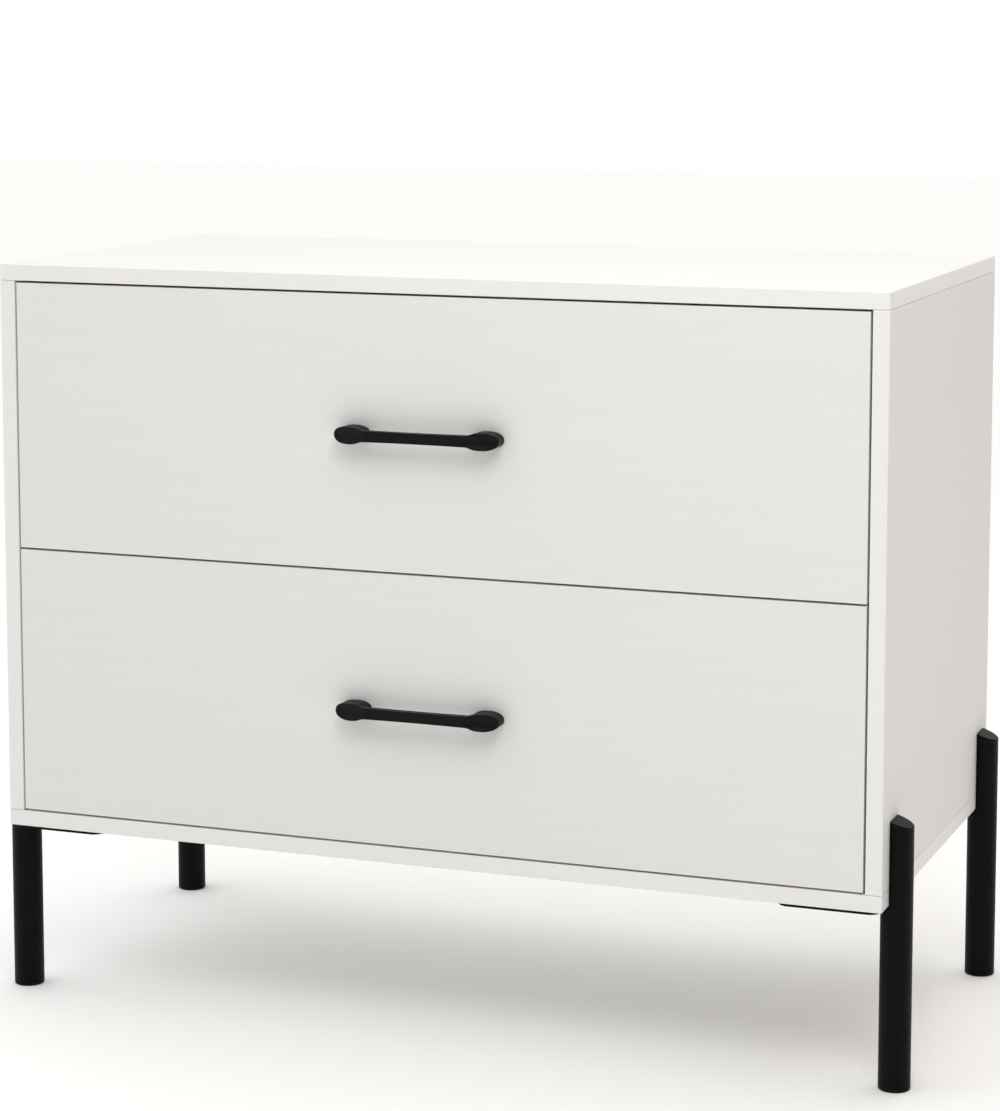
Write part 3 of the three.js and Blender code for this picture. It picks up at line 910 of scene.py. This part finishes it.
def handle_bar(settings, front_y):
    """The bar and its ends, closed: rings from the rear spine, round the rim, to the front spine."""
    outline = handle_outline(settings)
    centre = settings.hole_spacing / 2
    rear_y = front_y + settings.bar_depth
    rear_rim_share, rear_sweep_share, face_rows = 0.7, 0.6, 18
    rim, rear_rim = settings.rim_radius, rear_rim_share * settings.rim_radius
    # Each ring: how far in from the outline, as a length and then as a share, and its depth.
    rings = [(0.0, 1.0, rear_y), (0.0, 0.5, rear_y)]
    for inset, y in arc((rear_rim, rear_y - rear_rim), rear_rim, 90, 180, 4):
        rings.append((inset, 0.0, y))
    for inset, y in arc((rim, front_y + rim), rim, 180, 270, 6):
        rings.append((inset, 0.0, y))
    rings += [(rim, row / face_rows, front_y) for row in range(1, face_rows + 1)]

    points = []
    for inset, share, y in rings:
        front = y < rear_y - 0.5 * settings.bar_depth
        for x, z in outline:
            spine = max(-centre, min(centre, x))
            run = math.hypot(spine - x, z)
            inward = (inset + (run - inset) * share) / run
            px, pz = x + (spine - x) * inward, z * (1 - inward)
            rear_swept = rear_sweep_share * handle_relief(settings, x, z)
            points.append((px, y + (handle_relief(settings, px, pz) if front else rear_swept), pz))
    count = len(outline)
    indices = [range(first, first + count) for first in range(0, len(points), count)]
    bm = bmesh.new()
    bm.from_mesh(bare_mesh("handle_rings", points, bridged(indices)))
    bmesh.ops.remove_doubles(bm, verts=bm.verts, dist=0.005 * MM)
    bmesh.ops.dissolve_degenerate(bm, edges=bm.edges, dist=0.002 * MM)
    bmesh.ops.recalc_face_normals(bm, faces=bm.faces)
    return bm


def handle_post(settings, x, inside_y, base_y):
    """An oval post from inside the bar down to the drawer front."""
    facets, shy, eased = 72, 0.1 * MM, 0.35 * MM
    half_length = settings.end_length / 2 - settings.post_inset
    half_height = settings.end_height / 2 - settings.post_inset

    def rounded(value):
        """A sine or cosine bent from a circle's to the oval's."""
        return math.copysign(abs(value) ** (2 / settings.fullness), value)

    bm = bmesh.new()
    rings = [[bm.verts.new((x, inside_y, 0.0))] * facets]
    for inset, y in ((shy, inside_y), (0.0, base_y - eased), (eased, base_y)):
        ring = []
        for n in range(facets):
            angle = 2 * math.pi * n / facets
            dx = (half_length - inset) * rounded(math.cos(angle))
            dz = (half_height - inset) * rounded(math.sin(angle))
            ring.append(bm.verts.new((x + dx, y, dz)))
        rings.append(ring)
    rings.append([bm.verts.new((x, base_y, 0.0))] * facets)
    for corners in bridged(rings):
        bm.faces.new(corners)
    bmesh.ops.recalc_face_normals(bm, faces=bm.faces)
    return bm


class NIGHTSTAND_OT_handles(bpy.types.Operator):
    """Make the cast handles and the screws that hold them"""

    bl_idname = "nightstand.handles"
    bl_label = "Handles"

    def execute(self, context):
        settings = context.scene.nightstand.handles
        overlap = 0.4 * MM
        for level in LEVELS:
            body, name = f"{level}_drawer", f"{level}_handle_cast"
            low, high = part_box(f"{level}_handle")
            piece = linked(name, mesh_of(handle_bar(settings, low.y), name))
            posts = []
            for side, sign in SIDES.items():
                x = sign * settings.hole_spacing / 2
                inside_y = low.y + settings.bar_depth - overlap
                bm = handle_post(settings, x, inside_y, high.y)
                posts.append(linked(f"{level}_{side}_post", mesh_of(bm, "handle_post")))
                union = piece.modifiers.new(posts[-1].name, "BOOLEAN")
                union.operation, union.solver, union.object = "UNION", "EXACT", posts[-1]
            settle(piece)
            for post in posts:
                bpy.data.objects.remove(post)
            piece.data.transform(Matrix.Translation((0, 0, (low.z + high.z) / 2)))
            smooth(piece.data, 32)
            piece.data.materials.clear()
            piece.data.materials.append(finishes()["satin_black_coat"])
            rest_on(piece, body, "black_powder_coat", f"{level}_handle")
            self.handle_screws(level, body)
        return {"FINISHED"}

    def handle_screws(self, level, body):
        """The two screws of one handle, with their heads inside the drawer front."""
        nodes = [f"{level}_{side}_handle_screw" for side in SIDES]
        heads = [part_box(node) for node in nodes]
        inner_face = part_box(f"{body}_front")[1].y
        places = [((low.x + high.x) / 2, inner_face, (low.z + high.z) / 2) for low, high in heads]
        low, high = heads[0]
        screws(
            f"{level}_handle_screws", places, (0, 1, 0), body, nodes=nodes,
            head_diameter=high.x - low.x, head_height=high.y - inner_face, recess=1.1 * MM,
            shank_length=inner_face - low.y,
        )


def bevelled(radius, segments):
    """A step that rounds the crisp edges of a grown piece."""

    def step(piece):
        bevel = piece.modifiers.new("Eased edges", "BEVEL")
        bevel.width, bevel.segments = radius, segments
        bevel.limit_method, bevel.angle_limit = "ANGLE", math.radians(40)
        piece.modifiers.new("Even shading", "WEIGHTED_NORMAL")

    return step


class NIGHTSTAND_OT_legs(bpy.types.Operator):
    """Make the notched tube legs with their plates, welds and feet"""

    bl_idname = "nightstand.legs"
    bl_label = "Legs"

    def execute(self, context):
        settings = context.scene.nightstand.legs
        coat = finishes()["matte_black_coat"]
        tree = tree_named("Notched tube leg", leg_tree)
        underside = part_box("bottom_panel")[0].z
        panel_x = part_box("right_side_panel")[1].x
        welds = []
        for corner, side in CORNERS:
            node, sign = f"{corner}_{side}_leg", SIDES[side]
            low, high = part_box(node)
            plate_low, plate_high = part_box(f"{node}_plate")
            seam = underside - plate_high.z
            axis = Vector((sign * (panel_x + settings.offset), (low.y + high.y) / 2, 0))
            inputs = {
                "Diameter": high.y - low.y, "Wall": settings.wall, "Bottom": low.z,
                "Top": underside + settings.rise, "Shelf": plate_low.z - seam,
                "Panel Face": settings.offset - seam, "Top Slope": settings.top_slope,
                "Facets": settings.facets, "Turn": 0.0 if sign > 0 else math.pi, "Place": axis,
                "Material": coat,
            }
            easing = bevelled(settings.edge_radius, 3)
            leg = grow(f"{node}_tube", tree, bpy.data.meshes.new(node), inputs, then=easing)
            rest_on(leg, "cabinet", "black_powder_coat", node)
            board_piece(
                f"{node}_plate", f"{node}_plate_pressed", "cabinet", "black_powder_coat",
                settings.plate_radius, ["matte_black_coat"],
            )
            welds.append((axis.x, axis.y, plate_low.z))
            self.foot(f"{corner}_{side}_foot", axis, low.z, settings)
        inputs = {
            "Ring Radius": (high.y - low.y) / 2, "Bead Radius": settings.weld_radius,
            "Material": coat,
        }
        tree = tree_named("Weld beads", weld_tree)
        beads = grow("leg_weld_beads", tree, bare_mesh("welds", welds), inputs)
        rest_on(beads, "cabinet", "black_powder_coat")
        return {"FINISHED"}

    def foot(self, node, axis, tube_low, settings):
        """A turned foot with a rounded lower edge, and a plug that goes up the tube."""
        low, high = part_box(node)
        play, gap, chamfer, plug_chamfer = 0.3 * MM, 0.2 * MM, 0.4 * MM, 1 * MM
        radius, shoulder = (high.y - low.y) / 2, tube_low - gap
        plug, round_off = radius - settings.wall - play, settings.foot_round
        profile = [
            (0.0, 0.0),
            *arc((radius - round_off, round_off), round_off, -90, 0, 8),
            (radius, shoulder - chamfer),
            (radius - chamfer, shoulder),
            (plug, shoulder),
            (plug, high.z - plug_chamfer),
            (plug - plug_chamfer, high.z),
            (0.0, high.z),
        ]
        mesh = turned(f"{node}_glide", profile, settings.facets)
        mesh.transform(Matrix.Translation((axis.x, axis.y, 0)))
        smooth(mesh, 35)
        piece = linked(f"{node}_glide", mesh, finishes()["black_foot_plastic"])
        rest_on(piece, "cabinet", "black_plastic", node)


def rounded_corner(before, corner, after, radius, steps=4):
    """Points of a soft bend that replaces one corner of an outline."""
    if radius == 0:
        yield corner
        return
    start, end = (
        Vector(corner) + (Vector(other) - Vector(corner)).normalized() * radius
        for other in (before, after)
    )
    for n in range(steps + 1):
        t = n / steps
        yield tuple(start * (1 - t) ** 2 + Vector(corner) * 2 * t * (1 - t) + end * t**2)


def rail_mesh(name, node, web_outward, settings):
    """A rolled C section with soft bends, as long and as wide as its CAD rail."""
    low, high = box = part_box(node)
    wall = settings.wall
    web, tip = side_x(box, web_outward), side_x(box, -web_outward)
    inner = web + wall * (1 if tip > web else -1)
    bend, inside, lip = settings.bend_radius, settings.bend_radius - wall, 0.4 * wall
    under, over = low.z + wall, high.z - wall
    corners = [
        ((web, low.z), bend), ((tip, low.z), lip), ((tip, under), lip), ((inner, under), inside),
        ((inner, over), inside), ((tip, over), lip), ((tip, high.z), lip), ((web, high.z), bend),
    ]
    outline = []
    for n, (corner, radius) in enumerate(corners):
        before, after = corners[n - 1][0], corners[(n + 1) % len(corners)][0]
        outline += rounded_corner(before, corner, after, radius)
    count = len(outline)
    points = [(x, y, z) for y in (low.y, high.y) for x, z in outline]
    near, far = range(count), range(count, 2 * count)
    bm = bmesh.new()
    bm.from_mesh(bare_mesh(name, points, [*bridged([near, far]), near, far[::-1]]))
    bmesh.ops.recalc_face_normals(bm, faces=bm.faces)
    return mesh_of(bm, name)


class NIGHTSTAND_OT_slides(bpy.types.Operator):
    """Make the ball-bearing slides: rolled rails with slots, ball cages and their screws"""

    bl_idname = "nightstand.slides"
    bl_label = "Slides"

    def execute(self, context):
        settings = context.scene.nightstand.slides
        for level in LEVELS:
            for side, sign in SIDES.items():
                self.rails(level, side, sign, settings)
                self.rail_screws(level, side, sign, settings)
            self.cages(level, settings)
        return {"FINISHED"}

    def rails(self, level, side, sign, settings):
        """The three rails of one slide, with a row of slots in each web."""
        tree, slots = tree_named("Slotted rail", slot_tree), 6
        for member, body, web_outward in (
            ("cabinet", "cabinet", sign),
            ("middle", f"{level}_slide_middles", sign),
            ("drawer", f"{level}_drawer", -sign),
        ):
            node = f"{level}_{side}_{member}_rail"
            low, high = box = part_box(node)
            step = (high.y - low.y) / slots
            inputs = {
                "Slot Length": settings.slot_length, "Slot Width": settings.slot_width,
                "Depth": 4 * settings.wall, "Count": slots,
                "First": (side_x(box, web_outward), low.y + step / 2, (low.z + high.z) / 2),
                "Step": (0.0, step, 0.0), "Material": finishes()["zinc_plate"],
            }
            name = f"{node}_rolled"
            rail = grow(name, tree, rail_mesh(name, node, web_outward, settings), inputs)
            smooth(rail.data, 40)
            rest_on(rail, body, "zinc_steel", node)

    def rail_screws(self, level, side, sign, settings):
        """Flat-headed screws through the cabinet rail's web and the drawer rail's web."""
        shares = (1 / 6, 1 / 2, 5 / 6)
        for member, body, facing in (
            ("cabinet", "cabinet", -sign),
            ("drawer", f"{level}_drawer", sign),
        ):
            low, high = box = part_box(f"{level}_{side}_{member}_rail")
            x, run = side_x(box, -facing) + facing * settings.wall, high.y - low.y
            screws(
                f"{level}_{side}_{member}_rail_screws",
                [(x, low.y + run * share, (low.z + high.z) / 2) for share in shares],
                (facing, 0, 0), body, head_diameter=6.6 * MM, head_height=0.85 * MM, dome=0.7,
                recess=0.9 * MM, shank_length=1.5 * MM,
            )

    def cages(self, level, settings):
        """Ball cages that ride with the middle rails: outer ones to the rear, inner ones in front."""
        outer, inner = [], []
        for side in SIDES:
            cabinet, middle, drawer = (
                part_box(f"{level}_{side}_{member}_rail") for member in ("cabinet", "middle", "drawer")
            )
            quarter = (middle[1].y - middle[0].y) / 4
            outer += self.races(cabinet, middle, settings.wall, middle[1].y - quarter)
            inner += self.races(middle, drawer, settings.wall, middle[0].y + quarter)
        inputs = {
            "Ball Diameter": settings.ball_diameter, "Pitch": settings.ball_pitch,
            "Count": settings.balls, "Strip Width": settings.cage_width,
            "Strip Thickness": settings.cage_thickness, "Material": finishes()["zinc_plate"],
        }
        name = f"{level}_ball_cages"
        tree = tree_named("Ball cages", cage_tree)
        piece = grow(name, tree, bare_mesh(name, outer + inner), inputs)
        rest_on(piece, f"{level}_slide_middles", "zinc_steel")

    def races(self, around, within, wall, y):
        """The middles of the two races between one rail and the rail inside it."""
        x = (max(around[0].x, within[0].x) + min(around[1].x, within[1].x)) / 2
        yield x, y, (around[1].z - wall + within[1].z) / 2
        yield x, y, (around[0].z + wall + within[0].z) / 2


class NIGHTSTAND_OT_fasteners(bpy.types.Operator):
    """Make the leg plate screws and the caps over the cabinet and drawer fittings"""

    bl_idname = "nightstand.fasteners"
    bl_label = "Fasteners"

    def execute(self, context):
        self.plate_screws()
        self.cabinet_caps()
        self.drawer_caps()
        return {"FINISHED"}

    def plate_screws(self):
        """Four screws up through each leg plate, at the plate's own holes."""
        places = []
        edge, tube = 11 * MM, 14.3 * MM
        for corner, side in CORNERS:
            low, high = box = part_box(f"{corner}_{side}_leg_plate")
            sign = SIDES[side]
            for x in (side_x(box, -sign) + sign * edge, side_x(box, sign) - sign * (edge + tube)):
                places += [(x, y, low.z) for y in (low.y + edge, high.y - edge)]
        screws("leg_plate_screws", places, (0, 0, -1), "cabinet", head_height=2.2 * MM)

    def cabinet_caps(self):
        """White caps over the cam fittings, inside the two side panels."""
        inset = 34 * MM
        for side, sign in SIDES.items():
            low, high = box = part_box(f"{side}_side_panel")
            depths = (low.y + 3.2 * inset, high.y - 1.6 * inset)
            heights = (low.z + inset, high.z - inset)
            places = [(side_x(box, -sign), y, z) for y in depths for z in heights]
            self.caps(f"{side}_fitting_caps", places, -sign, "cabinet")

    def drawer_caps(self):
        """White caps over the fittings that hold each drawer's sides to its front."""
        inset, shares = 24 * MM, (0.3, 0.78)
        for level in LEVELS:
            body = f"{level}_drawer"
            for side, sign in SIDES.items():
                low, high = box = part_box(f"{body}_{side}_side")
                heights = [low.z + (high.z - low.z) * share for share in shares]
                places = [(side_x(box, -sign), low.y + inset, z) for z in heights]
                self.caps(f"{body}_{side}_fitting_caps", places, -sign, body)

    def caps(self, name, places, facing, body):
        """Low round caps with a cross recess, which face left or right."""
        screws(
            name, places, (facing, 0, 0), body, slot="white_plastic",
            material="white_moulded_plastic", head_diameter=17 * MM, head_height=1.1 * MM,
            dome=0.2, recess=1.2 * MM, shank_diameter=12 * MM, shank_length=3 * MM,
        )


# ---------------------------------------------------------------- stage


CAMERA_PLACE = (1.0402, -2.7611, 0.9356)
# Each light's place, size and tint.
LIGHTS = {
    "key": ((-2.6, -4.4, 2.3), 2.0, (1.0, 0.99, 0.975)),
    "fill": ((0.75, -1.55, 2.05), 1.0, (1.0, 0.995, 0.985)),
}
WALL_WHITE, WALL_WARM = (1.0, 0.997, 0.99, 1.0), (1.0, 0.87, 0.78, 1.0)


def area_light(name, place, target, size, power, tint):
    """A square soft light that looks at a target."""
    light = bpy.data.lights.new(name, "AREA")
    light.shape, light.size, light.energy, light.color = "SQUARE", size, power, tint
    lamp = bpy.data.objects.new(name, light)
    lamp.location = place
    lamp.rotation_euler = (Vector(target) - Vector(place)).to_track_quat("-Z", "Y").to_euler()
    bpy.context.scene.collection.objects.link(lamp)


def studio_world(settings):
    """White walls, less bright in front of the nightstand and to its right, and a bright ceiling."""
    world = bpy.data.worlds.new("studio")
    world.use_nodes = True
    sky = Nodes(world.node_tree)
    direction = sky.add("ShaderNodeTexCoord", output="Generated")

    def ramp(towards, start, end, low, high):
        """A strength that changes from low to high as a direction turns towards an axis."""
        inputs = {0: direction, 1: Vector(towards).normalized()}
        aligned = sky.add("ShaderNodeVectorMath", inputs, output="Value", operation="DOT_PRODUCT")
        return sky.ranged(aligned, low, high, start, end, interpolation_type="SMOOTHSTEP")

    walls = ramp((1.0, -1.0, 0.0), -0.4, 0.9, settings.walls, settings.shade)
    ceiling = ramp((0.0, 0.0, 1.0), 0.3, 1.0, 0.0, settings.ceiling)
    warmth = ramp((1.0, -0.2, 0.0), 0.1, 0.8, 0.0, 1.0)
    background = sky.nodes["Background"].inputs
    sky.links.new(sky.mixed(warmth, WALL_WHITE, WALL_WARM), background["Color"])
    sky.links.new(sky.math("ADD", walls, ceiling), background["Strength"])
    return world


class NIGHTSTAND_OT_stage(bpy.types.Operator):
    """Make the floor, the soft lights and the camera"""

    bl_idname = "nightstand.stage"
    bl_label = "Stage"

    def execute(self, context):
        settings = context.scene.nightstand.stage
        half = settings.floor_size / 2
        corners = [(-half, -half, 0), (half, -half, 0), (half, half, 0), (-half, half, 0)]
        floor = linked("floor", bare_mesh("floor", corners, [(0, 1, 2, 3)]), pale_floor())

        middle = (Vector(CAD_BOX[0]) + Vector(CAD_BOX[1])) / 2
        for name, (place, size, tint) in LIGHTS.items():
            area_light(name, place, middle, size, getattr(settings, f"{name}_power"), tint)

        context.scene.world = studio_world(settings)
        context.scene.view_settings.view_transform = "Standard"

        lens = bpy.data.cameras.new("camera")
        lens.lens, lens.shift_y = settings.lens, settings.shift
        camera = bpy.data.objects.new("camera", lens)
        camera.location = CAMERA_PLACE
        camera.rotation_euler = (math.pi / 2 - settings.pitch, 0.0, settings.yaw)
        context.scene.collection.objects.link(camera)
        context.scene.camera = camera
        return {"FINISHED"}


OPERATORS = (
    NIGHTSTAND_OT_stage,
    NIGHTSTAND_OT_cabinet,
    NIGHTSTAND_OT_back,
    NIGHTSTAND_OT_drawers,
    NIGHTSTAND_OT_handles,
    NIGHTSTAND_OT_legs,
    NIGHTSTAND_OT_slides,
    NIGHTSTAND_OT_fasteners,
)


class NIGHTSTAND_PT_build(bpy.types.Panel):
    """Lists the steps that build the nightstand, and their settings"""

    bl_label = "Nightstand"
    bl_idname = "NIGHTSTAND_PT_build"
    bl_space_type = "VIEW_3D"
    bl_region_type = "UI"
    bl_category = "Nightstand"

    def draw(self, context):
        for operator in OPERATORS:
            self.layout.operator(operator.bl_idname)
        for name, group in SETTINGS.items():
            box = self.layout.box()
            box.label(text=group.__doc__)
            for key in group.__annotations__:
                box.prop(getattr(context.scene.nightstand, name), key)


CLASSES = (*SETTINGS.values(), NightstandSettings, *OPERATORS, NIGHTSTAND_PT_build)


def register():
    for cls in CLASSES:
        bpy.utils.register_class(cls)
    bpy.types.Scene.nightstand = PointerProperty(type=NightstandSettings)


def unregister():
    del bpy.types.Scene.nightstand
    for cls in reversed(CLASSES):
        bpy.utils.unregister_class(cls)


def main():
    """Registers the add-on and runs its steps in order."""
    register()
    for operator in OPERATORS:
        group, name = operator.bl_idname.split(".")
        getattr(getattr(bpy.ops, group), name)()


if __name__ == "__main__":
    main()
